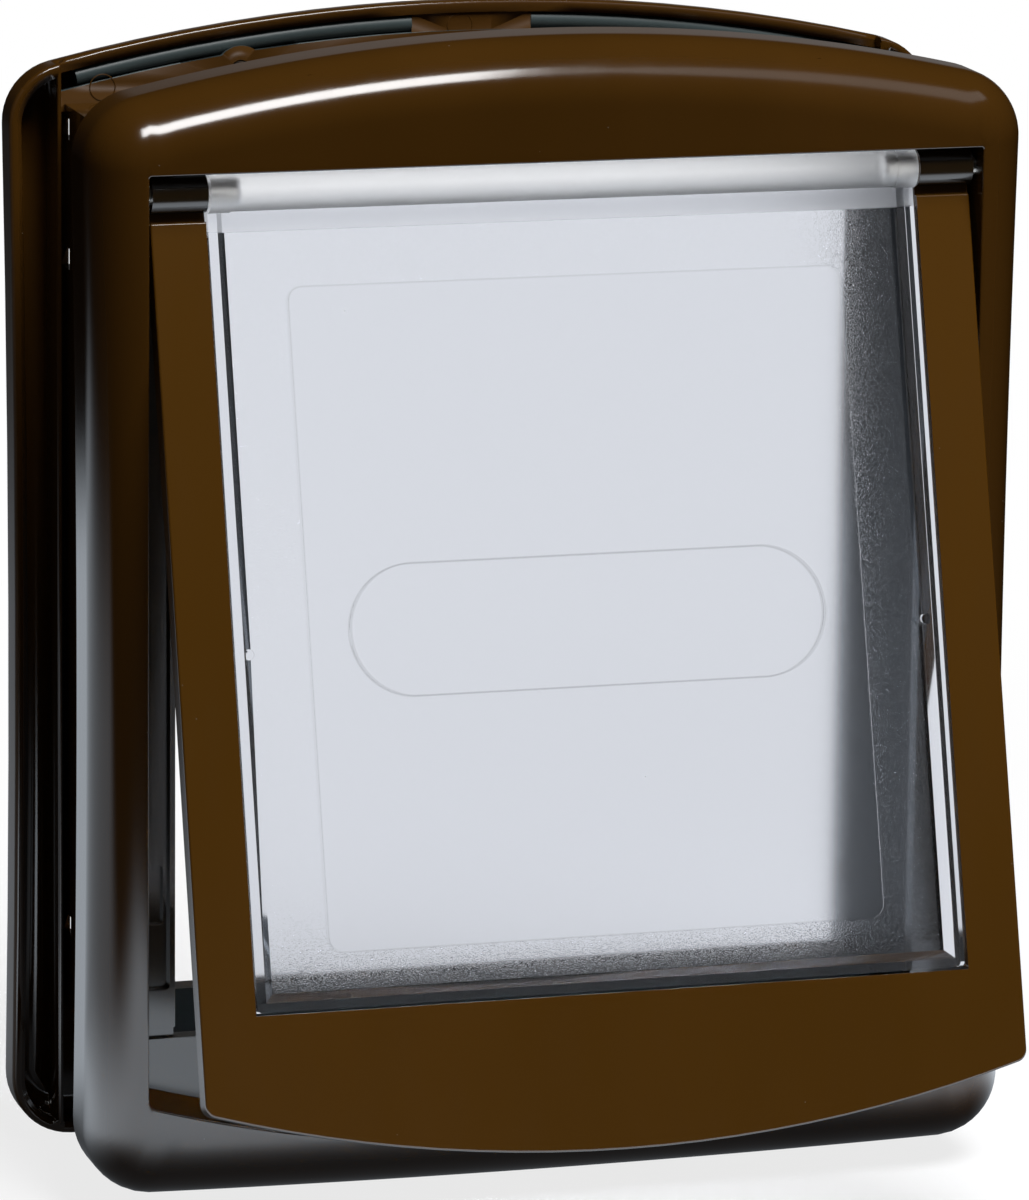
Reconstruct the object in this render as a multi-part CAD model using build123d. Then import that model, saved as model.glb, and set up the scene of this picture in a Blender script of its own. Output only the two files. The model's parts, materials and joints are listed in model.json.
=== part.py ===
from build123d import *
import os
from math import hypot, sqrt

# A two-frame cat flap for a door leaf, in millimetres.
# X runs across the door, Y runs from the outside into the house, Z runs up.
# The origin is on the outer frame's door face, level with the middle of the opening's sides.

# Outer frame, with its borders measured from the opening
SIDE_BORDER = 11.4
TOP_BORDER = 24.4
BOTTOM_BORDER = 9.3
FRAME_DEPTH = 21.0
TOP_ARC_RADIUS = 395.0
BOTTOM_ARC_RADIUS = 3500.0
SIDE_PINCH = 1.2
CORNER_RADIUS = 14.0
ROUND_OVER = 12.5
SKIN = 2.2

# Opening in the outer frame
OPENING_WIDTH = 175.2
OPENING_TOP = 95.6
OPENING_WALL = 2.0
OPENING_CORNER = 2.5
OPENING_TOP_CORNER = 0.6
SILL_RISE = 1.8
SILL_GAP = 3.8

# Hinge line, shared by the swing panel and the clear flap
HINGE_Y = -14.5
HINGE_DROP = 4.6
KNUCKLE_RADIUS = 3.9
PIN_RADIUS = 2.0
PIN_PRESS_CLEARANCE = 0.02
PIN_RUNNING_CLEARANCE = 0.06
PIN_HEAD_RADIUS = 2.9
PIN_HEAD_THICKNESS = 1.4
PIN_ENGAGEMENT = 6.0
PIN_BORE_SPARE = 0.5
PIN_CHAMFER = 0.4
REST_ANGLE = 15.5

# Swing panel
PANEL_SIDE_GAP = 1.25
PANEL_DEPTH = 4.5
PANEL_SKIN = 2.0
PANEL_WALL = 1.8
PANEL_TOP_DROP = 5.7
PANEL_CORNER = 2.6
PANEL_EDGE = 0.5
PANEL_BOTTOM_DROP = 195.9
PANEL_ARC_RADIUS = 304.0
STILE_WIDTH = 11.45
KNUCKLE_WEB_BACK = 3.7
KNUCKLE_WEB_FRONT = 1.2

# Clear flap
FLAP_SIDE_GAP = 0.5
BOTTOM_RAIL = 32.0
FLAP_SHEET = 2.0
FLAP_CORNER = 1.2
RIM_WIDTH = 1.9
RIM_PROUD = 1.8
RIM_SLOPE = 45.0
TAB_DROP = 92.5
TAB_RADIUS = 1.1
TAB_SETBACK = 0.4
HINGE_BAND_DROP = 7.9
HINGE_BAND_PROUD = 0.5
COLLAR_LENGTH = 4.4
COLLAR_PROUD = 0.25
FIELD_SIDE_MARGIN = 16.0
FIELD_TOP_MARGIN = 19.2
FIELD_BOTTOM_MARGIN = 11.1
FIELD_CORNER = 3.0
FIELD_PROUD = 0.3
BADGE_LENGTH = 100.4
BADGE_HEIGHT = 27.2
BADGE_DROP = 89.1
BADGE_LINE = 0.5
BADGE_PROUD = 0.25

# Tunnel liner with the stop flange that the swing panel closes against
PASSAGE_SIDE_GAP = 5.1
PASSAGE_SILL_GAP = 11.8
STOP_GAP = 0.5
FLANGE_THICKNESS = 4.4
TUNNEL_SIDE_STEP = 4.5
TUNNEL_FLOOR_STEP = 6.1
TUNNEL_WALL = 1.7
TUNNEL_END = 49.5
CHANNEL_WIDTH = 5.2
CHANNEL_DEPTH = 1.6
CHANNEL_SILL_RISE = 10.2
CHANNEL_HEAD_DROP = 15.6
CHANNEL_CORNER = 1.2
CHANNEL_EDGE = 1.1
SLOT_WIDTH = 3.0
SLOT_HEIGHT = 12.4
SLOT_RISE = 13.5
SLOT_DEPTH = 2.8
GROOVE_HEIGHT = 2.3
GROOVE_DEPTH = 1.4

# Rear frame, with its borders measured from its sleeve, and the door between the two frames
DOOR_THICKNESS = 50.0
REAR_SIDE_BORDER = 14.5
REAR_TOP_BORDER = 20.8
REAR_BOTTOM_BORDER = 29.6
REAR_DEPTH = 12.5
REAR_ROUND_OVER = 6.0
REAR_SKIN = 2.6
REAR_CORNER = 13.0
SLEEVE_CLEARANCE = 0.3
SLEEVE_WALL = 1.6
SLEEVE_FRONT = 14.0
RIB_GAP = 1.7
RIB_THICKNESS = 1.0
RIM_SETBACK = 4.0
LAND_MARGIN = 6.4
LAND_THICKNESS = 2.0
PAD_WIDTH = 26.0
PAD_DROP = 12.0
PAD_SETBACK = 4.6
CLIP_WINDOW_HEIGHT = 4.4
CLIP_WINDOW_DEPTH = 7.5
CLIP_WINDOW_TOP_DROP = 3.2
CLIP_WINDOW_HIGH_DROP = 30.4
CLIP_WINDOW_LOW_RISE = 16.8

# Fasteners
SCREW_SPACING = 100.0
SCREW_LINTEL_RISE = 9.4
SCREW_SILL_DROP = 2.7
SCREW_RADIUS = 1.95
SCREW_THREAD_CLEARANCE = 0.05
SCREW_HOLE_RADIUS = 2.2
SCREW_HEAD_RADIUS = 3.1
SCREW_HEAD_HEIGHT = 2.2
SCREW_DRIVE_RADIUS = 1.7
SCREW_DRIVE_WIDTH = 0.8
SCREW_DRIVE_DEPTH = 1.2
SCREW_REACH = 11.0
SCREW_POINT = 2.5
BOSS_WALL = 1.9
BOSS_BORE_SPARE = 0.5
REAR_BOSS_WALL = 1.6
HEAD_POCKET_RADIUS = 3.6
HEAD_POCKET_DEPTH = 6.0
CAP_CLEARANCE = 0.1
CAP_THICKNESS = 2.6
CAP_DOME = 0.5
EAR_RADIUS = 3.0
EAR_LEVEL = 60.0
LINER_BOSS_RADIUS = 2.6
LINER_SCREW_RADIUS = 1.3
LINER_SCREW_HEAD_RADIUS = 2.3
LINER_SCREW_HEAD_HEIGHT = 1.6
LINER_SCREW_REACH = 6.0
LINER_HOLE_RADIUS = 1.5

# Values that follow from the driving dimensions
HALF_OPENING = OPENING_WIDTH / 2
HINGE_Z = OPENING_TOP - HINGE_DROP
OPENING_BOTTOM = PANEL_BOTTOM_DROP + SILL_GAP - HINGE_Z
OPENING_ARC_RADIUS = PANEL_ARC_RADIUS + SILL_GAP
FRAME_WIDTH = OPENING_WIDTH + 2 * SIDE_BORDER
FRAME_TOP = OPENING_TOP + TOP_BORDER
FRAME_BOTTOM = OPENING_BOTTOM + BOTTOM_BORDER
PANEL_HALF = HALF_OPENING - PANEL_SIDE_GAP
WINDOW_HALF = PANEL_HALF - STILE_WIDTH
FLAP_HALF = WINDOW_HALF - FLAP_SIDE_GAP
FLAP_DROP = PANEL_BOTTOM_DROP - BOTTOM_RAIL
FLAP_SEAT = PANEL_DEPTH - FLAP_SHEET
FIELD_HALF_WIDTH = FLAP_HALF - FIELD_SIDE_MARGIN
FIELD_BOTTOM_DROP = FLAP_DROP - FIELD_BOTTOM_MARGIN
HALF_PASSAGE = FLAP_HALF + PASSAGE_SIDE_GAP
HALF_TUNNEL = HALF_PASSAGE + TUNNEL_SIDE_STEP
FLANGE_SILL = FLAP_DROP + PASSAGE_SILL_GAP - HINGE_Z
TUNNEL_FLOOR = FLANGE_SILL + TUNNEL_FLOOR_STEP
CHANNEL_FLOOR = FLANGE_SILL - CHANNEL_SILL_RISE
CHANNEL_TOP = OPENING_TOP - CHANNEL_HEAD_DROP
SLOT_BOTTOM = CHANNEL_FLOOR - SLOT_RISE
FLANGE_FRONT = HINGE_Y + PANEL_DEPTH + STOP_GAP
FLANGE_BACK = FLANGE_FRONT + FLANGE_THICKNESS
LINER_HALF = HALF_TUNNEL + TUNNEL_WALL
LINER_TOP = OPENING_TOP + TUNNEL_WALL
LINER_BOTTOM = TUNNEL_FLOOR + TUNNEL_WALL
SLEEVE_HALF = LINER_HALF + SLEEVE_CLEARANCE
SLEEVE_TOP = LINER_TOP + SLEEVE_CLEARANCE
SLEEVE_BOTTOM = LINER_BOTTOM + SLEEVE_CLEARANCE
REAR_WIDTH = 2 * (SLEEVE_HALF + REAR_SIDE_BORDER)
REAR_TOP = SLEEVE_TOP + REAR_TOP_BORDER
REAR_BOTTOM = SLEEVE_BOTTOM + REAR_BOTTOM_BORDER
REAR_FACE = DOOR_THICKNESS + REAR_DEPTH
REAR_BOSS_FACE = DOOR_THICKNESS + RIM_SETBACK
HEAD_SEAT = REAR_FACE - HEAD_POCKET_DEPTH
SCREW_BORE = SCREW_RADIUS + SCREW_THREAD_CLEARANCE
LINER_SCREW_BORE = LINER_SCREW_RADIUS + SCREW_THREAD_CLEARANCE
SCREW_TOP = OPENING_TOP + SCREW_LINTEL_RISE
SCREW_BOTTOM = OPENING_BOTTOM + SCREW_SILL_DROP


def upright(y):
    """Plane across the door at depth y; its local axes are X and Z and it looks outwards."""
    return Plane(origin=(0, y, 0), x_dir=(1, 0, 0), z_dir=(0, -1, 0))


def inward(y):
    """Plane across the door at depth y that looks into the house; its local axes are -X and Z."""
    return Plane(origin=(0, y, 0), x_dir=(-1, 0, 0), z_dir=(0, 1, 0))


def slab(sketch, front, back):
    """Solid of an XZ sketch between the depths front and back, with front the smaller."""
    return extrude(upright(back) * sketch, amount=back - front)


def block(x_low, x_high, y_low, y_high, z_low, z_high):
    """Box between two corners."""
    size = (x_high - x_low, y_high - y_low, z_high - z_low)
    middle = ((x_low + x_high) / 2, (y_low + y_high) / 2, (z_low + z_high) / 2)
    return Pos(*middle) * Box(*size)


def rod_x(radius, x_low, x_high, y, z):
    """Cylinder along X."""
    return Pos((x_low + x_high) / 2, y, z) * Rot(0, 90, 0) * Cylinder(radius, x_high - x_low)


def rod_y(radius, y_low, y_high, x, z):
    """Cylinder along Y."""
    return Pos(x, (y_low + y_high) / 2, z) * Rot(90, 0, 0) * Cylinder(radius, y_high - y_low)


def arc_sag(radius, half_chord):
    """Height of an arc over half its chord."""
    return radius - sqrt(radius * radius - half_chord * half_chord)


def frame_outline(width, top, bottom, corner, inset):
    """Arched frame outline with slightly drawn-in sides, set in by inset all round."""
    half = width / 2 - inset
    top_z = top - inset
    bottom_z = inset - bottom
    high = top_z - arc_sag(TOP_ARC_RADIUS - inset, half)
    low = bottom_z + arc_sag(BOTTOM_ARC_RADIUS - inset, half)
    middle = (high + low) / 2
    sides = [
        ThreePointArc((-half, low), (0, bottom_z), (half, low)),
        ThreePointArc((half, low), (half - SIDE_PINCH, middle), (half, high)),
        ThreePointArc((half, high), (0, top_z), (-half, high)),
        ThreePointArc((-half, high), (SIDE_PINCH - half, middle), (-half, low)),
    ]
    face = make_face(sides)
    return fillet(face.vertices(), corner - inset)


def arched_outline(half, top, bottom, arc_radius, top_corner, bottom_corner):
    """Outline with a straight top and sides and a bottom that bows downwards."""
    low = arc_sag(arc_radius, half) - bottom
    edges = [
        Line((-half, top), (half, top)),
        Line((half, top), (half, low)),
        ThreePointArc((half, low), (0, -bottom), (-half, low)),
        Line((-half, low), (-half, top)),
    ]
    face = make_face(edges)
    face = fillet(face.vertices().sort_by(Axis.Y)[2:], top_corner)
    lower = face.vertices().filter_by_position(Axis.Y, low - 1, low + 1)
    return fillet(lower, bottom_corner)


def rectangle(x_low, x_high, z_low, z_high):
    """Rectangle in an XZ sketch."""
    return Pos((x_low + x_high) / 2, (z_low + z_high) / 2) * Rectangle(x_high - x_low, z_high - z_low)


def rounded(x_low, x_high, z_low, z_high, radius):
    """Rectangle with rounded corners in an XZ sketch."""
    middle = Pos((x_low + x_high) / 2, (z_low + z_high) / 2)
    return middle * RectangleRounded(x_high - x_low, z_high - z_low, radius)


def screw_places():
    """Fixing screw positions in X and Z."""
    half = SCREW_SPACING / 2
    return [(x, z) for x in (-half, half) for z in (-SCREW_BOTTOM, SCREW_TOP)]


def ear_places():
    """Liner screw positions in X and Z, in bosses half sunk in the opening walls."""
    x = HALF_OPENING + OPENING_WALL / 2 + LINER_BOSS_RADIUS
    return [(side * x, level) for side in (-1, 1) for level in (-EAR_LEVEL, EAR_LEVEL)]


def front_block(inset):
    """Outer frame's rounded block, set in by inset from its outer surface."""
    outline = frame_outline(FRAME_WIDTH, FRAME_TOP, FRAME_BOTTOM, CORNER_RADIUS, inset)
    body = slab(outline, inset - FRAME_DEPTH, 0)
    return fillet(body.faces().sort_by(Axis.Y)[0].edges(), ROUND_OVER - inset)


def rear_block(inset):
    """Rear frame's rounded block, set in by inset from its outer surface."""
    outline = frame_outline(REAR_WIDTH, REAR_TOP, REAR_BOTTOM, REAR_CORNER, inset)
    body = slab(outline, DOOR_THICKNESS, REAR_FACE - inset)
    return fillet(body.faces().sort_by(Axis.Y)[-1].edges(), REAR_ROUND_OVER - inset)


def opening_outline(grow):
    """Outline of the outer frame's opening, set out by grow."""
    return arched_outline(
        HALF_OPENING + grow,
        OPENING_TOP + grow,
        OPENING_BOTTOM + grow,
        OPENING_ARC_RADIUS + grow,
        OPENING_TOP_CORNER + grow,
        OPENING_CORNER + grow,
    )


def opening_prism(grow, front, back):
    """Solid of the opening's outline, set out by grow, that climbs towards the door as the sill does."""
    slope = SILL_RISE / (FLANGE_FRONT + FRAME_DEPTH)
    rise = slope * (back - front)
    mouth = Pos(0, slope * (front + FRAME_DEPTH)) * opening_outline(grow)
    return extrude(upright(front) * mouth, amount=hypot(back - front, rise), dir=(0, back - front, rise))


def screw_boss(x, z):
    """Square boss round a fixing screw, running out into the frame's nearest border."""
    half = SCREW_RADIUS + BOSS_WALL
    low, high = (z - half, FRAME_TOP) if z > 0 else (-FRAME_BOTTOM, z + half)
    return block(x - half, x + half, -FRAME_DEPTH, 0, low, high)


def front_frame():
    """Outer frame: rounded shell, opening walls, screw bosses and hinge pin seats."""
    core = front_block(SKIN / 2)
    walls = opening_prism(OPENING_WALL, -FRAME_DEPTH, FLANGE_FRONT)
    frame = front_block(0) - front_block(SKIN) + (walls & core)
    for x, z in screw_places():
        frame += screw_boss(x, z) & core
    for x, z in ear_places():
        frame += rod_y(LINER_BOSS_RADIUS, -FRAME_DEPTH, FLANGE_FRONT, x, z) & core
    frame -= opening_prism(0, -FRAME_DEPTH - SKIN, FLANGE_FRONT + SKIN)
    for x, z in screw_places():
        frame -= rod_y(SCREW_BORE, -SCREW_REACH - SCREW_POINT - BOSS_BORE_SPARE, 0, x, z)
    for x, z in ear_places():
        depth = LINER_SCREW_REACH + BOSS_BORE_SPARE
        frame -= rod_y(LINER_SCREW_BORE, FLANGE_FRONT - depth, FLANGE_FRONT, x, z)
    for side in (-1, 1):
        low, high = sorted((side * WINDOW_HALF, side * (HALF_OPENING + 2 * OPENING_WALL)))
        frame -= rod_x(PIN_RADIUS + PIN_PRESS_CLEARANCE, low, high, HINGE_Y, HINGE_Z)
    return frame


def tunnel_liner():
    """Stop flange and tunnel that runs through the door."""
    flange = slab(opening_outline(OPENING_WALL), FLANGE_FRONT, FLANGE_BACK)
    for x, z in ear_places():
        flange += rod_y(EAR_RADIUS, FLANGE_FRONT, FLANGE_BACK, x, z)
    inside = rectangle(-HALF_TUNNEL, HALF_TUNNEL, -TUNNEL_FLOOR, OPENING_TOP)
    outside = rectangle(-LINER_HALF, LINER_HALF, -LINER_BOTTOM, LINER_TOP)
    passage = rectangle(-HALF_PASSAGE, HALF_PASSAGE, -FLANGE_SILL, OPENING_TOP)
    liner = flange + slab(outside, FLANGE_BACK - TUNNEL_WALL, TUNNEL_END)
    liner -= slab(inside, FLANGE_BACK, TUNNEL_END)
    liner -= slab(passage, FLANGE_FRONT, FLANGE_BACK)
    for x, z in ear_places():
        liner -= rod_y(LINER_HOLE_RADIUS, FLANGE_FRONT, FLANGE_BACK, x, z)
    inner = HALF_PASSAGE + CHANNEL_EDGE
    for side in (-1, 1):
        low, high = sorted((side * inner, side * (inner + CHANNEL_WIDTH)))
        channel = rounded(low, high, -CHANNEL_FLOOR, CHANNEL_TOP, CHANNEL_CORNER)
        liner -= slab(channel, FLANGE_FRONT, FLANGE_FRONT + CHANNEL_DEPTH)
        middle = (low + high) / 2
        slot = rounded(
            middle - SLOT_WIDTH / 2,
            middle + SLOT_WIDTH / 2,
            -SLOT_BOTTOM,
            SLOT_HEIGHT - SLOT_BOTTOM,
            SLOT_WIDTH / 4,
        )
        liner -= slab(slot, FLANGE_FRONT, FLANGE_FRONT + SLOT_DEPTH)
        low, high = sorted((side * HALF_PASSAGE, side * HALF_OPENING))
        groove = rectangle(low, high, -FLANGE_SILL, GROOVE_HEIGHT - FLANGE_SILL)
        liner -= slab(groove, FLANGE_FRONT, FLANGE_FRONT + GROOVE_DEPTH)
    return liner


def rear_frame():
    """Inner frame: shallow shell with a sleeve over the tunnel, ribs and screw pockets."""
    core = rear_block(REAR_SKIN / 2)
    frame = rear_block(0) - rear_block(REAR_SKIN)
    half_rib = SLEEVE_HALF + SLEEVE_WALL + RIB_GAP
    for side in (-1, 1):
        low, high = sorted((side * half_rib, side * (half_rib + RIB_THICKNESS)))
        frame += block(low, high, DOOR_THICKNESS, REAR_FACE, -REAR_BOTTOM, REAR_TOP) & core
    pad = block(-PAD_WIDTH / 2, PAD_WIDTH / 2, DOOR_THICKNESS + PAD_SETBACK, REAR_FACE,
                REAR_TOP - PAD_DROP, REAR_TOP)
    frame += pad & core
    rim_cut = block(-half_rib, half_rib, DOOR_THICKNESS, REAR_BOSS_FACE,
                    SLEEVE_TOP + 2 * SLEEVE_WALL, REAR_TOP)
    frame -= rim_cut
    arch = frame_outline(REAR_WIDTH, REAR_TOP, REAR_BOTTOM, REAR_CORNER, LAND_MARGIN)
    arch &= rectangle(-half_rib, half_rib, SLEEVE_TOP, REAR_TOP)
    frame += slab(arch, REAR_BOSS_FACE, REAR_BOSS_FACE + LAND_THICKNESS)
    bore = rectangle(-SLEEVE_HALF, SLEEVE_HALF, -SLEEVE_BOTTOM, SLEEVE_TOP)
    sleeve = offset(bore, amount=SLEEVE_WALL, kind=Kind.INTERSECTION)
    frame += slab(sleeve, SLEEVE_FRONT, REAR_FACE - REAR_SKIN / 2)
    for x, z in screw_places():
        frame += rod_y(HEAD_POCKET_RADIUS + REAR_BOSS_WALL, REAR_BOSS_FACE, REAR_FACE, x, z) & core
    frame -= slab(bore, SLEEVE_FRONT, REAR_FACE)
    for x, z in screw_places():
        frame -= rod_y(SCREW_HOLE_RADIUS, REAR_BOSS_FACE, REAR_FACE, x, z)
        frame -= rod_y(HEAD_POCKET_RADIUS, HEAD_SEAT, REAR_FACE, x, z)
    half_height = CLIP_WINDOW_HEIGHT / 2
    levels = (
        SLEEVE_TOP - CLIP_WINDOW_TOP_DROP,
        SLEEVE_TOP - CLIP_WINDOW_HIGH_DROP,
        CLIP_WINDOW_LOW_RISE - SLEEVE_BOTTOM,
    )
    for side in (-1, 1):
        low, high = sorted((side * LINER_HALF, side * (SLEEVE_HALF + SLEEVE_WALL)))
        for level in levels:
            frame -= block(low, high, DOOR_THICKNESS, DOOR_THICKNESS + CLIP_WINDOW_DEPTH,
                           level - half_height, level + half_height)
    return frame


def swung(solid):
    """Solid modelled hanging from the hinge line at the origin, moved to its rest angle."""
    return Pos(0, HINGE_Y, HINGE_Z) * Rot(-REST_ANGLE, 0, 0) * solid


def swing_panel():
    """Outward-opening panel: hollow-backed frame around the window, with a knuckle at each end."""
    outline = arched_outline(PANEL_HALF, -PANEL_TOP_DROP, PANEL_BOTTOM_DROP, PANEL_ARC_RADIUS,
                             PANEL_EDGE, PANEL_CORNER)
    window = rectangle(-WINDOW_HALF, WINDOW_HALF, -FLAP_DROP - FLAP_SIDE_GAP, 0)
    body = slab(outline, 0, PANEL_DEPTH)
    body = fillet(body.faces().sort_by(Axis.Y)[0].edges(), PANEL_EDGE)
    core = offset(outline, amount=-PANEL_WALL)
    core -= offset(window, amount=PANEL_WALL, kind=Kind.INTERSECTION)
    body -= slab(core, PANEL_SKIN, PANEL_DEPTH)
    body -= slab(window, 0, PANEL_DEPTH)
    web_foot = PANEL_TOP_DROP + PANEL_WALL
    for side in (-1, 1):
        low, high = sorted((side * WINDOW_HALF, side * PANEL_HALF))
        body += rod_x(KNUCKLE_RADIUS, low, high, 0, 0)
        body += block(low, high, KNUCKLE_WEB_FRONT, KNUCKLE_WEB_BACK, -web_foot, 0)
    body -= rod_x(PIN_RADIUS + PIN_RUNNING_CLEARANCE, -HALF_OPENING, HALF_OPENING, 0, 0)
    return swung(body)


def flap_blank(front, back):
    """Plain blank of the clear flap between two depths, rounded at its bottom corners."""
    blank = slab(rectangle(-FLAP_HALF, FLAP_HALF, -FLAP_DROP, 0), front, back)
    return fillet(blank.edges().filter_by(Axis.Y).sort_by(Axis.Z)[:2], FLAP_CORNER)


def clear_flap():
    """Transparent inward-opening flap with a hinge tube, a raised rim and a raised middle field."""
    front = FLAP_SEAT
    rim_front = front - RIM_PROUD
    field_front = front - FIELD_PROUD
    inside = FLAP_HALF - RIM_WIDTH
    inside_drop = FLAP_DROP - RIM_WIDTH
    flap = flap_blank(rim_front, PANEL_DEPTH)
    hollow = inward(rim_front) * rectangle(-inside, inside, -inside_drop, KNUCKLE_RADIUS + RIM_PROUD)
    flap -= extrude(hollow, amount=RIM_PROUD, taper=RIM_SLOPE)
    flap += slab(rectangle(-FLAP_HALF, FLAP_HALF, -HINGE_BAND_DROP, 0), front - HINGE_BAND_PROUD, PANEL_DEPTH)
    flap += slab(rounded(-FIELD_HALF_WIDTH, FIELD_HALF_WIDTH, -FIELD_BOTTOM_DROP, -FIELD_TOP_MARGIN,
                         FIELD_CORNER), field_front, front)
    stadium = Pos(0, -BADGE_DROP) * SlotOverall(BADGE_LENGTH, BADGE_HEIGHT)
    line = stadium - offset(stadium, amount=-BADGE_LINE)
    flap += slab(line, field_front - BADGE_PROUD, field_front)
    flap += rod_x(KNUCKLE_RADIUS, -FLAP_HALF, FLAP_HALF, 0, 0)
    for side in (-1, 1):
        low, high = sorted((side * (FLAP_HALF - COLLAR_LENGTH), side * FLAP_HALF))
        flap += rod_x(KNUCKLE_RADIUS + COLLAR_PROUD, low, high, 0, 0)
        flap += rod_y(TAB_RADIUS, rim_front + TAB_SETBACK, PANEL_DEPTH, side * (inside - TAB_RADIUS), -TAB_DROP)
    for side in (-1, 1):
        bore_end = FLAP_HALF - PIN_ENGAGEMENT - PIN_BORE_SPARE
        low, high = sorted((side * bore_end, side * FLAP_HALF))
        flap -= rod_x(PIN_RADIUS + PIN_RUNNING_CLEARANCE, low, high, 0, 0)
    return swung(flap)


def hinge_pin(side):
    """Headed pin, pressed through the opening wall from inside the frame's hollow border."""
    seat = HALF_OPENING + OPENING_WALL
    tip = FLAP_HALF - PIN_ENGAGEMENT
    low, high = sorted((side * tip, side * seat))
    shank = rod_x(PIN_RADIUS, low, high, HINGE_Y, HINGE_Z)
    point = shank.faces().sort_by(Axis.X)[0 if side > 0 else -1].edges()
    shank = chamfer(point, PIN_CHAMFER)
    low, high = sorted((side * seat, side * (seat + PIN_HEAD_THICKNESS)))
    return shank + rod_x(PIN_HEAD_RADIUS, low, high, HINGE_Y, HINGE_Z)


def cross_drive(y_seat, depth, x, z):
    """Cross recess cut into a screw head whose top lies at y_seat."""
    size = (2 * SCREW_DRIVE_RADIUS, depth, SCREW_DRIVE_WIDTH)
    place = Pos(x, y_seat - depth / 2, z)
    return place * (Box(*size) + Rot(0, 90, 0) * Box(*size))


def fixing_screw(x, z):
    """Long screw from the rear frame's pocket into the outer frame's boss."""
    tip = -SCREW_REACH
    shank = rod_y(SCREW_RADIUS, tip, HEAD_SEAT, x, z)
    point = Pos(x, tip - SCREW_POINT / 2, z) * Rot(90, 0, 0)
    shank += point * Cone(SCREW_RADIUS, SCREW_RADIUS / 4, SCREW_POINT)
    top = HEAD_SEAT + SCREW_HEAD_HEIGHT
    head = rod_y(SCREW_HEAD_RADIUS, HEAD_SEAT, top, x, z)
    head = fillet(head.faces().sort_by(Axis.Y)[-1].edges(), SCREW_HEAD_HEIGHT / 2)
    return shank + head - cross_drive(top, SCREW_DRIVE_DEPTH, x, z)


def screw_cap(x, z):
    """Push-in plug that hides a fixing screw's head, slightly domed."""
    radius = HEAD_POCKET_RADIUS - CAP_CLEARANCE
    cap = rod_y(radius, REAR_FACE - CAP_THICKNESS, REAR_FACE, x, z)
    return fillet(cap.faces().sort_by(Axis.Y)[-1].edges(), CAP_DOME)


def liner_screw(x, z):
    """Short screw that holds an ear of the tunnel liner to the outer frame."""
    shank = rod_y(LINER_SCREW_RADIUS, FLANGE_FRONT - LINER_SCREW_REACH, FLANGE_BACK, x, z)
    top = FLANGE_BACK + LINER_SCREW_HEAD_HEIGHT
    head = rod_y(LINER_SCREW_HEAD_RADIUS, FLANGE_BACK, top, x, z)
    head = fillet(head.faces().sort_by(Axis.Y)[-1].edges(), LINER_SCREW_HEAD_HEIGHT / 2)
    return shank + head


def group(solids):
    """Several separate solids in one node."""
    return Compound(children=list(solids))


NODES = {
    "front_frame": front_frame(),
    "tunnel_liner": tunnel_liner(),
    "rear_frame": rear_frame(),
    "swing_panel": swing_panel(),
    "clear_flap": clear_flap(),
    "hinge_pin_left": hinge_pin(-1),
    "hinge_pin_right": hinge_pin(1),
    "fixing_screws": group(fixing_screw(x, z) for x, z in screw_places()),
    "screw_caps": group(screw_cap(x, z) for x, z in screw_places()),
    "liner_screws": group(liner_screw(x, z) for x, z in ear_places()),
}

os.makedirs("parts", exist_ok=True)
for name, solid in NODES.items():
    export_step(solid, f"parts/{name}.step")
    print(name, round(solid.volume), "mm3")
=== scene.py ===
import json
import logging
import math
from abc import ABC, abstractmethod
from dataclasses import dataclass, field
from enum import Enum
from typing import Callable, Iterable, Sequence

import bpy
from bpy.types import Material, MeshPolygon, Node, NodeSocket, NodeTree, Object
from mathutils import Matrix, Vector


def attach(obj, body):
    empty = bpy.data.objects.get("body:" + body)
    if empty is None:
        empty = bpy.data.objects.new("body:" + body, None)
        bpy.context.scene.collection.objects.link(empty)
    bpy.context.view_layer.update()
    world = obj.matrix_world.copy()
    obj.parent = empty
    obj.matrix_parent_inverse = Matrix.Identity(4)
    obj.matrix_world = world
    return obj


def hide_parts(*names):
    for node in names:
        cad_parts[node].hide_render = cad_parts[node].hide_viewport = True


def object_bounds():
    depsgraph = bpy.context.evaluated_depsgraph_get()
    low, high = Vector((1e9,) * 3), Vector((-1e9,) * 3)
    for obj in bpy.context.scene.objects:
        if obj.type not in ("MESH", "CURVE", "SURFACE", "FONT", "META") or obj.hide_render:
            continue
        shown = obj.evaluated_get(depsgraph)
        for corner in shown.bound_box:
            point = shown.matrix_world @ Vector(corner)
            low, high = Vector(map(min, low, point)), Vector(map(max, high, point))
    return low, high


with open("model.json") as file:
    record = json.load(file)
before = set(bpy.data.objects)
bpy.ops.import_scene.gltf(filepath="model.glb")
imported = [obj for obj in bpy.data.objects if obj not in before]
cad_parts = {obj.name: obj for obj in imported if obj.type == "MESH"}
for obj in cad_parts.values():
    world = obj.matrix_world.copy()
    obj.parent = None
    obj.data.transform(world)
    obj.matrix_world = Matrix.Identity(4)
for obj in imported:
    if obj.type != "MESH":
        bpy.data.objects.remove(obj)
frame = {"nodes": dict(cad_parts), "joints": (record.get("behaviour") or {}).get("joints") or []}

# A cat flap: two brown frames, a tunnel between them, an outward panel and a clear inward flap.
# Metres, X across the door seen from outside, Y into the house, Z up.

LOG = logging.getLogger("cat_flap")
MM = 0.001
CAD_BOX = [list(corner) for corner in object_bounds()]

# The panel and the clear flap swing on one line, and the panel stands open at rest.
PANEL_HINGE = next(joint for joint in frame["joints"] if joint["name"] == "panel_hinge")
HINGE = Vector(PANEL_HINGE["pos_m"])
REST_ANGLE = math.radians(-PANEL_HINGE["range_deg"][0])

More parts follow.
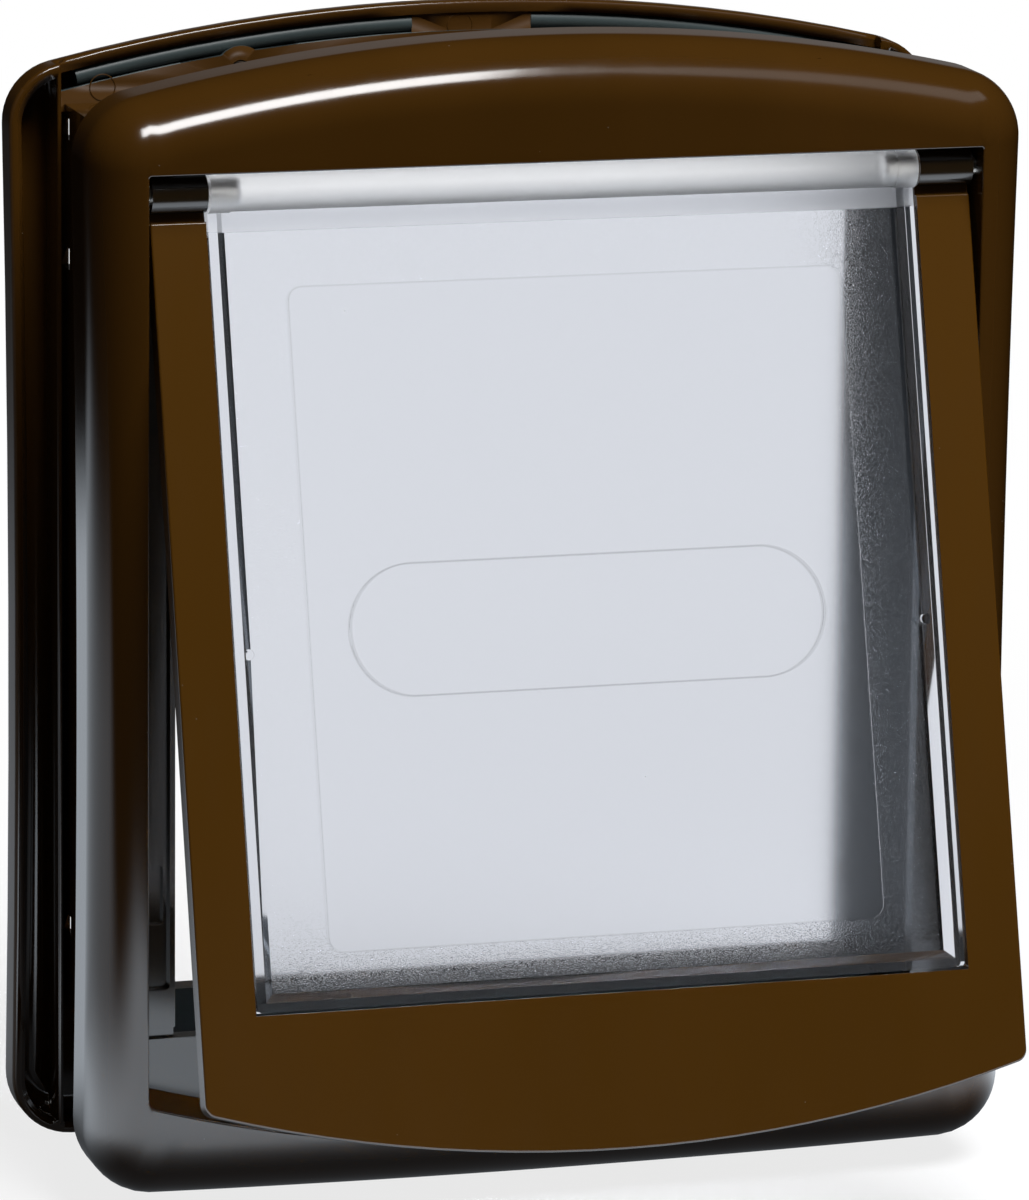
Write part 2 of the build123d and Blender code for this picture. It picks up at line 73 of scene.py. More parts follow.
Colour = tuple[float, float, float]
Place = tuple[float, float, float]
Flat = tuple[float, float]
Station = tuple[Flat, Flat]
FaceTest = Callable[[MeshPolygon], bool]


class Body(str, Enum):
    """Bodies of the model that pieces ride on."""

    FRAME = "frame"
    PANEL = "panel"
    FLAP = "flap"


class Slot(str, Enum):
    """Material slots of the record."""

    BROWN = "brown_plastic"
    CLEAR = "clear_plastic"
    STEEL = "plated_steel"


# Bench work: selecting, editing and finishing a piece

WELD_REACH = 0.001 * MM
FLAT_ANGLE = math.radians(0.3)


def pick(piece: Object) -> None:
    """Makes a piece the only selected and the active object.

    Args:
        piece: The object to pick.
    """
    bpy.ops.object.select_all(action="DESELECT")
    piece.select_set(True)
    bpy.context.view_layer.objects.active = piece


def edit(piece: Object, *steps: Callable[[], object]) -> None:
    """Runs edit-mode steps on a whole piece.

    Args:
        piece: The object to edit.
        steps: Calls made in edit mode, in order, with everything selected first.
    """
    pick(piece)
    bpy.ops.object.mode_set(mode="EDIT")
    bpy.ops.mesh.select_all(action="SELECT")
    for step in steps:
        step()
    bpy.ops.object.mode_set(mode="OBJECT")


def weld() -> None:
    """Merges vertices that lie together, in edit mode."""
    bpy.ops.mesh.remove_doubles(threshold=WELD_REACH)


def close_ends() -> None:
    """Fills the open ends of a tube, in edit mode."""
    bpy.ops.mesh.select_all(action="SELECT")
    bpy.ops.mesh.fill_holes(sides=0)


def face_outwards() -> None:
    """Turns all faces outwards, in edit mode."""
    bpy.ops.mesh.select_all(action="SELECT")
    bpy.ops.mesh.normals_make_consistent(inside=False)


def flatten() -> None:
    """Makes each flat face one polygon, in edit mode."""
    bpy.ops.mesh.dissolve_limited(angle_limit=FLAT_ANGLE)


def apply_modifier(piece: Object, kind: str, **values: object) -> None:
    """Adds a modifier to a piece, sets it and applies it.

    Args:
        piece: The object to change.
        kind: Blender's modifier type.
        values: The modifier's settings.
    """
    pick(piece)
    modifier = piece.modifiers.new(kind.lower(), kind)
    for name, value in values.items():
        setattr(modifier, name, value)
    bpy.ops.object.modifier_apply(modifier=modifier.name)


def polish(piece: Object, rounding: float = 0.0, angle: float = 38.0) -> None:
    """Rounds a piece's sharp edges and gives it smooth, flat-faced shading.

    Args:
        piece: The object to finish.
        rounding: Width of the rounded edge, or 0 to leave edges sharp.
        angle: Edges sharper than this many degrees are rounded or kept crisp.
    """
    limit = math.radians(angle)
    if rounding > 0:
        apply_modifier(piece, "BEVEL", width=rounding, segments=2, limit_method="ANGLE",
                       angle_limit=limit, use_clamp_overlap=True)
    pick(piece)
    bpy.ops.object.shade_smooth_by_angle(angle=limit)
    apply_modifier(piece, "WEIGHTED_NORMAL", mode="FACE_AREA", weight=50, keep_sharp=True)


def node_copy(node: str, name: str, *steps: Callable[[], object]) -> Object:
    """Copy of a CAD node as a new welded piece.

    Args:
        node: The node's name.
        name: The new piece's name.
        steps: Further edit-mode steps on the whole copy.

    Returns:
        The new object, at the origin, with no material.
    """
    mesh = frame["nodes"][node].data.copy()
    mesh.materials.clear()
    piece = bpy.data.objects.new(name, mesh)
    bpy.context.scene.collection.objects.link(piece)
    edit(piece, weld, *steps)
    return piece


def start(add: Callable[..., object], **values: object) -> Object:
    """Adds a primitive as the start of a piece, with its place in its mesh.

    Args:
        add: Blender's operator for the primitive.
        values: The operator's settings.

    Returns:
        The new object, at the origin.
    """
    bpy.ops.object.select_all(action="DESELECT")
    add(**values)
    bpy.ops.object.transform_apply(location=True, rotation=True, scale=True)
    return bpy.context.active_object


def swept_ring(name: str, sections: Sequence[Sequence[Vector]]) -> Object:
    """Closed ring with a closed section: a flat grid bent round through the sections and welded.

    Args:
        name: The new piece's name.
        sections: Points of the section at each station, the same number everywhere.

    Returns:
        The new object.
    """
    around = len(sections)
    across = len(sections[0])
    piece = start(bpy.ops.mesh.primitive_grid_add, x_subdivisions=around, y_subdivisions=across, size=1.0)
    piece.name = name
    for number, vertex in enumerate(piece.data.vertices):
        row, column = divmod(number, around + 1)
        vertex.co = sections[column % around][row % across]
    edit(piece, weld, face_outwards)
    return piece


def block(low: Place, high: Place) -> Object:
    """Box between two corners, as a start for a moulded block.

    Args:
        low: Its lowest corner.
        high: Its highest corner.

    Returns:
        The new object.
    """
    middle = [(first + last) / 2 for first, last in zip(low, high)]
    size = [last - first for first, last in zip(low, high)]
    return start(bpy.ops.mesh.primitive_cube_add, size=1.0, location=middle, scale=size)


def join(main: Object, others: Iterable[Object]) -> None:
    """Joins other pieces into the main one.

    Args:
        main: The piece that stays.
        others: The pieces that become part of it.
    """
    pick(main)
    for piece in others:
        piece.select_set(True)
    bpy.ops.object.join()


def install(piece: Object, material: Material, body: Body, slot: Slot, node: str) -> None:
    """Dresses a piece, ties it to its body and hides the CAD node that it stands for.

    Args:
        piece: The finished object.
        material: Its finish.
        body: The body it rides on.
        slot: The record's material slot; not used.
        node: The CAD node that it stands for.
    """
    piece.data.materials.clear()
    piece.data.materials.append(material)
    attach(piece, body.value)
    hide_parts(node)
    LOG.info("%s: %d faces on %s", piece.name, len(piece.data.polygons), body.value)


def repaint(piece: Object, material: Material, chosen: FaceTest) -> None:
    """Gives the chosen faces of an installed piece a second finish.

    Args:
        piece: The installed object.
        material: The second finish.
        chosen: Whether a face takes it.
    """
    piece.data.materials.append(material)
    for face in piece.data.polygons:
        if chosen(face):
            face.material_index = len(piece.data.materials) - 1


def near_hinge(radius: float) -> FaceTest:
    """Test for faces whose middle lies within a radius of the hinge line."""
    return lambda face: math.hypot(face.center.y - HINGE.y, face.center.z - HINGE.z) < radius


# Finishes


class Shader:
    """A node tree with short calls to add, set and link nodes."""

    def __init__(self, tree: NodeTree) -> None:
        """Wraps an empty or default tree."""
        self.tree = tree

    def add(self, kind: str, inputs: dict | None = None, **values: object) -> Node:
        """Adds a node.

        Args:
            kind: The node's type.
            inputs: Socket name or number to a constant or to an output socket.
            values: The node's own settings.

        Returns:
            The new node.
        """
        node = self.tree.nodes.new(kind)
        for name, value in values.items():
            setattr(node, name, value)
        for socket, value in (inputs or {}).items():
            self.feed(node.inputs[socket], value)
        return node

    def feed(self, socket: NodeSocket, value: object) -> None:
        """Gives an input socket its value.

        Args:
            socket: The input.
            value: An output to link, or a constant.
        """
        if isinstance(value, NodeSocket):
            self.tree.links.new(value, socket)
        else:
            socket.default_value = value

    def math(self, operation: str, *terms: object, clamp: bool = False) -> NodeSocket:
        """Math node on numbers and sockets; returns its value."""
        node = self.add("ShaderNodeMath", dict(enumerate(terms)), operation=operation, use_clamp=clamp)
        return node.outputs[0]

    def plus(self, base: object, value: NodeSocket, share: float) -> NodeSocket:
        """Base with a share of a value added."""
        return self.math("ADD", base, self.math("MULTIPLY", value, share))

    def past(self, sides: Iterable[NodeSocket]) -> NodeSocket:
        """Distance past a corner, from the distances past its two sides."""
        squares = [self.math("POWER", self.math("MAXIMUM", side, 0.0), 2.0) for side in sides]
        return self.math("SQRT", self.math("ADD", *squares))

    def ramp(self, value: object, low: float, high: float, bottom: float = 0.0,
             top: float = 1.0) -> NodeSocket:
        """Smooth map of value from low..high to bottom..top."""
        node = self.add("ShaderNodeMapRange", {0: value, 1: low, 2: high, 3: bottom, 4: top},
                        interpolation_type="SMOOTHSTEP")
        return node.outputs[0]

    def mix(self, factor: object, first: object, second: object) -> NodeSocket:
        """Colour between first and second."""
        node = self.add("ShaderNodeMix", {0: factor, 6: first, 7: second}, data_type="RGBA")
        return node.outputs[2]

    def noise(self, place: NodeSocket, scale: object, detail: float = 2.0) -> NodeSocket:
        """Noise value from 0 to 1; scale is in cycles per metre."""
        node = self.add("ShaderNodeTexNoise", {"Vector": place, "Scale": scale, "Detail": detail})
        return node.outputs[0]

    def place(self) -> NodeSocket:
        """The piece's own coordinates."""
        return self.add("ShaderNodeTexCoord").outputs["Object"]

    def stretched(self, place: NodeSocket, scale: Place) -> NodeSocket:
        """Coordinates scaled along each axis."""
        return self.add("ShaderNodeMapping", {"Vector": place, "Scale": scale}).outputs[0]

    def relief(self, skin: Node, height: NodeSocket, strength: float, depth: float) -> None:
        """Gives a Principled node a fine relief."""
        bump = self.add("ShaderNodeBump", {"Height": height, "Strength": strength, "Distance": depth})
        self.feed(skin.inputs["Normal"], bump.outputs[0])


def rgba(colour: Colour, share: float = 1.0) -> tuple[float, float, float, float]:
    """Share of a colour, with full alpha."""
    return (*(share * part for part in colour), 1.0)


class SurfaceGroups:
    """Shader node groups shared by the plastics and the metal."""

    def __init__(self) -> None:
        """Builds each group once."""
        self.grain = self._grain()
        self.specks = self._specks()

    @staticmethod
    def _begin(name: str, inputs: dict[str, float], outputs: Sequence[str]) -> tuple[Shader, Node, Node]:
        """Starts a group with float sockets.

        Args:
            name: The group's name.
            inputs: Input names with their defaults.
            outputs: Output names.

        Returns:
            The group's shader, its input node and its output node.
        """
        tree = bpy.data.node_groups.new(name, "ShaderNodeTree")
        for label, value in inputs.items():
            socket = tree.interface.new_socket(label, in_out="INPUT", socket_type="NodeSocketFloat")
            socket.default_value = value
        for label in outputs:
            tree.interface.new_socket(label, in_out="OUTPUT", socket_type="NodeSocketFloat")
        shader = Shader(tree)
        return shader, shader.add("NodeGroupInput"), shader.add("NodeGroupOutput")

    def _grain(self) -> NodeTree:
        """Moulded skin: a slow mottle, upright streaks from the flow of the melt and a fine orange peel.

        Returns:
            The group.
        """
        shader, source, sink = self._begin(
            "moulded_grain", {"Peel Scale": 700.0, "Flow Scale": 14.0, "Streak Scale": 160.0},
            ("Mottle", "Streak", "Peel"))
        place = shader.place()
        flow = shader.noise(shader.stretched(place, (1.0, 1.0, 0.35)), source.outputs["Flow Scale"], 3.0)
        streak = shader.noise(shader.stretched(place, (1.0, 1.0, 0.04)), source.outputs["Streak Scale"])
        peel = shader.noise(place, source.outputs["Peel Scale"], 1.5)
        shader.feed(sink.inputs["Mottle"], shader.ramp(flow, 0.3, 0.7))
        shader.feed(sink.inputs["Streak"], shader.ramp(streak, 0.35, 0.75))
        shader.feed(sink.inputs["Peel"], peel)
        return shader.tree

    def _specks(self) -> NodeTree:
        """Sparse dust: small dots whose number grows with Amount.

        Returns:
            The group.
        """
        shader, source, sink = self._begin("dust_specks", {"Scale": 420.0, "Amount": 0.04}, ("Mask",))
        cells = shader.add("ShaderNodeTexVoronoi",
                           {"Vector": shader.place(), "Scale": source.outputs["Scale"]})
        picked = shader.add("ShaderNodeSeparateColor", {0: cells.outputs["Color"]})
        dot = shader.math("LESS_THAN", cells.outputs["Distance"], 0.05)
        chosen = shader.math("LESS_THAN", picked.outputs[0], source.outputs["Amount"])
        shader.feed(sink.inputs["Mask"], shader.math("MULTIPLY", dot, chosen))
        return shader.tree

    @staticmethod
    def put(shader: Shader, group: NodeTree, **inputs: float) -> Node:
        """Adds a group to a material with its own values."""
        named = {name.replace("_", " "): value for name, value in inputs.items()}
        return shader.add("ShaderNodeGroup", named, node_tree=group)


def new_material(name: str) -> tuple[Material, Shader, Node]:
    """Starts a node material.

    Args:
        name: The material's name.

    Returns:
        The material, its shader and its Principled node.
    """
    material = bpy.data.materials.new(name)
    material.use_nodes = True
    shader = Shader(material.node_tree)
    return material, shader, material.node_tree.nodes["Principled BSDF"]


@dataclass(frozen=True)
class MouldedPlastic:
    """Moulded plastic in one colour, glossy or dull.

    Attributes:
        name: The material's name.
        deep: Colour where the melt flowed slowly.
        light: Colour where it flowed fast.
        sheen: Roughness of the clean skin.
        mirror: Strength of the reflection, 0.5 for a plain polished plastic.
        uneven: Roughness that the mottle and the streaks add.
        streaks: Share of the deep colour in a streak.
        dust: Share of dust cells that show.
        dust_cover: How far a speck of dust hides the skin.
        dust_colour: Colour of the dust.
        peel: Height of the orange peel.
    """

    name: str
    deep: Colour
    light: Colour
    sheen: float = 0.12
    mirror: float = 0.5
    uneven: Flat = (0.03, 0.02)
    streaks: float = 0.25
    dust: float = 0.03
    dust_cover: float = 0.3
    dust_colour: Colour = (0.2, 0.19, 0.17)
    peel: float = 0.004 * MM

    def make(self, groups: SurfaceGroups) -> Material:
        """Builds the material.

        Args:
            groups: The shared node groups.

        Returns:
            The new material.
        """
        material, shader, skin = new_material(self.name)
        grain = groups.put(shader, groups.grain, Peel_Scale=650.0, Flow_Scale=16.0, Streak_Scale=150.0)
        specks = groups.put(shader, groups.specks, Scale=420.0, Amount=self.dust)
        mottle, streak, peel = (grain.outputs[name] for name in ("Mottle", "Streak", "Peel"))
        body = shader.mix(mottle, rgba(self.deep), rgba(self.light))
        streaked = shader.mix(shader.math("MULTIPLY", streak, self.streaks), body, rgba(self.deep))
        cover = shader.math("MULTIPLY", specks.outputs[0], self.dust_cover)
        shader.feed(skin.inputs["Base Color"], shader.mix(cover, streaked, rgba(self.dust_colour)))
        rough = shader.ramp(mottle, 0.0, 1.0, self.sheen, self.sheen + self.uneven[0])
        rough = shader.plus(rough, streak, self.uneven[1])
        shader.feed(skin.inputs["Roughness"], shader.math("ADD", rough, cover))
        shader.relief(skin, peel, 0.5, self.peel)
        skin.inputs["IOR"].default_value = 1.5
        skin.inputs["Specular IOR Level"].default_value = self.mirror
        return material


@dataclass(frozen=True)
class SheetOutline:
    """Round-cornered rectangle on the clear flap.

    Attributes:
        half: Half its width.
        top: Drop of its top from the hinge line.
        bottom: Drop of its bottom from the hinge line.
        corner: Corner radius.
    """

    half: float
    top: float
    bottom: float
    corner: float

    def outside(self, shader: Shader, axes: Node) -> NodeSocket:
        """Distance outside the outline, negative inside.

        Args:
            shader: The material's shader.
            axes: Separated coordinates on the flap, X across and Z up from the hinge line.

        Returns:
            The distance's value.
        """
        level = shader.math("ADD", axes.outputs["Z"], (self.bottom + self.top) / 2)
        sizes = (self.half, (self.bottom - self.top) / 2)
        over = [shader.math("SUBTRACT", shader.math("ABSOLUTE", part), size - self.corner)
                for part, size in zip((axes.outputs["X"], level), sizes)]
        inside = shader.math("MINIMUM", shader.math("MAXIMUM", *over), 0.0)
        return shader.math("SUBTRACT", shader.math("ADD", shader.past(over), inside), self.corner)


@dataclass(frozen=True)
class ClearPlastic:
    """Clear moulded sheet, smooth in a middle field and stippled round it.

    Attributes:
        name: The material's name.
        tint: Colour of the light that comes through.
        smooth: The smooth middle field.
        sheet: The stippled sheet, inside the rim.
        oval: The long oval outline.
        line: Half the width of the oval's and the field's outlines.
        line_shade: Share of the tint that is left on an outline, a painted shade that stands in for the
            refraction at the raised line.
        field_line: Strength of the field's outline beside the oval's.
        soft_edge: Distances where the fade at the borders of field and sheet starts and ends.
        roughness: Roughness of the field and of the sheet round it.
        frost: Roughness that the hinge band adds.
        band_bottom: Drop where the frosted hinge band ends.
        grain_scale: Stipple grains in a metre.
        grain_depth: Height of the stipple.
    """

    name: str
    tint: Colour
    smooth: SheetOutline = SheetOutline(58.4 * MM, 19.2 * MM, 152.8 * MM, 3.0 * MM)
    sheet: SheetOutline = SheetOutline(70.6 * MM, 8.0 * MM, 160.2 * MM, 1.5 * MM)
    oval: SheetOutline = SheetOutline(49.95 * MM, 75.75 * MM, 102.45 * MM, 13.35 * MM)
    line: float = 0.24 * MM
    line_shade: float = 0.72
    field_line: float = 0.35
    soft_edge: Flat = (-0.2 * MM, 0.3 * MM)
    roughness: Flat = (0.12, 0.05)
    frost: float = 0.5
    band_bottom: float = 8.0 * MM
    grain_scale: float = 4600.0
    grain_depth: float = 0.02 * MM

    def drawn(self, shader: Shader, distance: NodeSocket) -> NodeSocket:
        """Mask that is 1 on a thin line where the distance is 0."""
        return shader.ramp(shader.math("ABSOLUTE", distance), 0.5 * self.line, self.line, 1.0, 0.0)

    def make(self, groups: SurfaceGroups) -> Material:
        """Builds the material.

        Args:
            groups: The shared node groups.

        Returns:
            The new material.
        """
        material, shader, skin = new_material(self.name)
        place = shader.place()
        shift = -(Matrix.Rotation(REST_ANGLE, 4, "X") @ HINGE)
        local = shader.add("ShaderNodeMapping", {"Vector": place, "Location": shift,
                                                 "Rotation": (REST_ANGLE, 0.0, 0.0)})
        axes = shader.add("ShaderNodeSeparateXYZ", {0: local.outputs[0]})
        smooth, sheet, oval = (part.outside(shader, axes) for part in (self.smooth, self.sheet, self.oval))
        painted_outline_shade = shader.math("MAXIMUM", self.drawn(shader, oval),
                            shader.math("MULTIPLY", self.drawn(shader, smooth), self.field_line))
        border = shader.ramp(smooth, *self.soft_edge)
        stippled = shader.math("SUBTRACT", border, shader.ramp(sheet, *self.soft_edge), clamp=True)
        band = shader.ramp(axes.outputs["Z"], -self.band_bottom, 0.5 * MM - self.band_bottom)
        grain = groups.put(shader, groups.grain, Peel_Scale=320.0, Flow_Scale=10.0, Streak_Scale=90.0)
        specks = groups.put(shader, groups.specks, Scale=300.0, Amount=0.02)
        cloud = shader.noise(place, 8.0, 0.0)
        rough = shader.ramp(border, 0.0, 1.0, *self.roughness)
        for value, share in ((band, self.frost), (cloud, 0.02), (specks.outputs[0], 0.2)):
            rough = shader.plus(rough, value, share)
        shader.feed(skin.inputs["Roughness"], rough)
        body = shader.mix(cloud, rgba(self.tint), rgba(self.tint, 0.97))
        # Painted shade: the outlines take a darker tint.
        shader.feed(skin.inputs["Base Color"], shader.mix(painted_outline_shade, body, rgba(self.tint, self.line_shade)))
        peaks = shader.ramp(shader.noise(place, self.grain_scale, 1.0), 0.55, 0.8)
        height = shader.plus(shader.math("MULTIPLY", peaks, stippled), grain.outputs["Peel"], 0.04)
        shader.relief(skin, height, 0.8, self.grain_depth)
        skin.inputs["Transmission Weight"].default_value = 1.0
        skin.inputs["IOR"].default_value = 1.49
        return material


@dataclass(frozen=True)
class PlatedSteel:
    """Bright plated steel with a turned finish.

    Attributes:
        name: The material's name.
        colour: Colour of the plating.
        dull: Share of the colour that is left in the mottle.
        roughness: Roughness in and on the turned marks.
        marks: Height of the turned marks.
    """

    name: str
    colour: Colour
    dull: float = 0.82
    roughness: Flat = (0.22, 0.36)
    marks: float = 0.02 * MM

    def make(self, groups: SurfaceGroups) -> Material:
        """Builds the material.

        Args:
            groups: The shared node groups.

        Returns:
            The new material.
        """
        material, shader, skin = new_material(self.name)
        grain = groups.put(shader, groups.grain, Peel_Scale=2600.0, Flow_Scale=120.0, Streak_Scale=900.0)
        colour = shader.mix(grain.outputs["Mottle"], rgba(self.colour), rgba(self.colour, self.dull))
        shader.feed(skin.inputs["Base Color"], colour)
        rough = shader.ramp(grain.outputs["Peel"], 0.2, 0.8, *self.roughness)
        shader.feed(skin.inputs["Roughness"], shader.plus(rough, grain.outputs["Streak"], 0.1))
        shader.relief(skin, grain.outputs["Peel"], 0.2, self.marks)
        skin.inputs["Metallic"].default_value = 1.0
        return material


class Finishes:
    """All finishes of the object, made once."""

    def __init__(self) -> None:
        """Builds the shared groups and the materials."""
        groups = SurfaceGroups()
        brown = ((0.031, 0.0130, 0.0018), (0.037, 0.0155, 0.0023))
        self.shell = MouldedPlastic("gloss_brown_shell", *brown).make(groups)
        self.side = MouldedPlastic("satin_brown_side", *brown, sheen=0.4, mirror=0.12).make(groups)
        # Painted light: the panel's brown is a lighter copy of the frames' brown. It stands in for the extra
        # light that the upward-leaning panel catches.
        self.panel = MouldedPlastic("satin_brown_panel_painted_light", (0.047, 0.0193, 0.0014),
                                    (0.053, 0.0218, 0.0018), sheen=0.2).make(groups)
        # Painted shade: the liner's flange and the panel's knuckles keep the frames' brown plastic, painted
        # near-black for the shade they stand in.
        self.dark = MouldedPlastic("gloss_brown_painted_shade", (0.012, 0.0075, 0.0030),
                                   (0.016, 0.0095, 0.0038), sheen=0.16).make(groups)
        # Painted shade and painted reflection: the tunnel's walls keep the frames' brown plastic, painted
        # near-black with a blue-green cast for the shade inside and the bluish light that they mirror.
        self.tunnel = MouldedPlastic("dull_tunnel_painted_shade", (0.0040, 0.0085, 0.0095),
                                     (0.0055, 0.0110, 0.0122), sheen=0.45, mirror=0.15).make(groups)
        # Painted reflection: the channel under the rear frame's crown lies in shade, and its blue-grey colour
        # stands in for the light that it mirrors.
        self.channel = MouldedPlastic("satin_channel_painted_reflection", (0.022, 0.030, 0.031),
                                      (0.030, 0.041, 0.042), sheen=0.4, mirror=0.3).make(groups)
        self.clear = ClearPlastic("clear_sheet", (0.71, 0.735, 0.795)).make(groups)
        self.tube = ClearPlastic("clear_hinge_tube", (0.95, 0.96, 0.98)).make(groups)
        self.steel = PlatedSteel("plated_steel", (0.62, 0.60, 0.56)).make(groups)


# Sub-assemblies


@dataclass
class SubAssembly(ABC):
    """Part of the object that is modelled and dressed together.

    Attributes:
        finishes: The object's finishes.
    """

    finishes: Finishes

    @abstractmethod
    def build(self) -> None:
        """Models, dresses and installs the pieces."""


@dataclass
class ArchedBorder:
    """Arched outline with drawn-in sides and round corners, as a distance from its edge.

    Attributes:
        width: Overall width.
        top: Height of the crown.
        bottom: Depth of the bottom, below the origin.
        top_radius: Radius of the top arc.
        bottom_radius: Radius of the bottom arc.
        pinch: How far the sides are drawn in at mid-height.
        corner: Corner radius.
        middle: Mid-height of the sides.
        bow: Radius of the sides' arcs.
        bow_x: X of the sides' arc centres.
        centres: Centres of the corners at the top (1) and at the bottom (-1).
    """

    width: float = 198.0 * MM
    top: float = 120.0 * MM
    bottom: float = 118.0 * MM
    top_radius: float = 395.0 * MM
    bottom_radius: float = 3500.0 * MM
    pinch: float = 1.2 * MM
    corner: float = 14.0 * MM
    middle: float = field(init=False)
    bow: float = field(init=False)
    bow_x: float = field(init=False)
    centres: dict[int, Flat] = field(init=False)

    def __post_init__(self) -> None:
        """Works out the bow of the sides and the centres of the corners."""
        half = self.width / 2
        high = self.top - self.top_radius + math.sqrt(self.top_radius ** 2 - half ** 2)
        low = self.bottom_radius - self.bottom - math.sqrt(self.bottom_radius ** 2 - half ** 2)
        self.middle = (high + low) / 2
        self.bow = (((high - low) / 2) ** 2 + self.pinch ** 2) / (2 * self.pinch)
        self.bow_x = half - self.pinch + self.bow
        self.centres = {sign: self.corner_centre(sign, half - self.corner) for sign in (1, -1)}

    def edges(self, x: float, z: float) -> Flat:
        """Distances from the edges, positive inside.

        Args:
            x: Place across.
            z: Height.

        Returns:
            The distances from the side and from the nearer of top and bottom.
        """
        side = math.hypot(abs(x) - self.bow_x, z - self.middle) - self.bow
        over = self.top_radius - math.hypot(x, z - self.top + self.top_radius)
        under = self.bottom_radius - math.hypot(x, z - self.bottom_radius + self.bottom)
        return side, min(over, under)

    def corner_centre(self, sign: int, x: float) -> Flat:
        """Finds the centre of a round corner, step by step.

        Args:
            sign: 1 for the top, -1 for the bottom.
            x: First guess of its X.

        Returns:
            Its X and Z.
        """
        z = self.top - 2 * self.corner if sign > 0 else 2 * self.corner - self.bottom
        for _ in range(20):
            side, end = self.edges(x, z)
            x += side - self.corner
            z += sign * (end - self.corner)
        return x, z

    def inset(self, x: float, z: float) -> float:
        """Distance from the whole outline, positive inside.

        Args:
            x: Place across.
            z: Height.

        Returns:
            The distance.
        """
        side, end = self.edges(x, z)
        if side < self.corner and end < self.corner:
            sign = 1 if z > self.middle else -1
            centre_x, centre_z = self.centres[sign]
            away_x = abs(x) - centre_x
            away_z = sign * (z - centre_z)
            radius = self.top_radius if sign > 0 else self.bottom_radius
            if away_x > away_z * centre_x / radius and away_z > 0:
                return self.corner - math.hypot(away_x, away_z)
        return min(side, end)


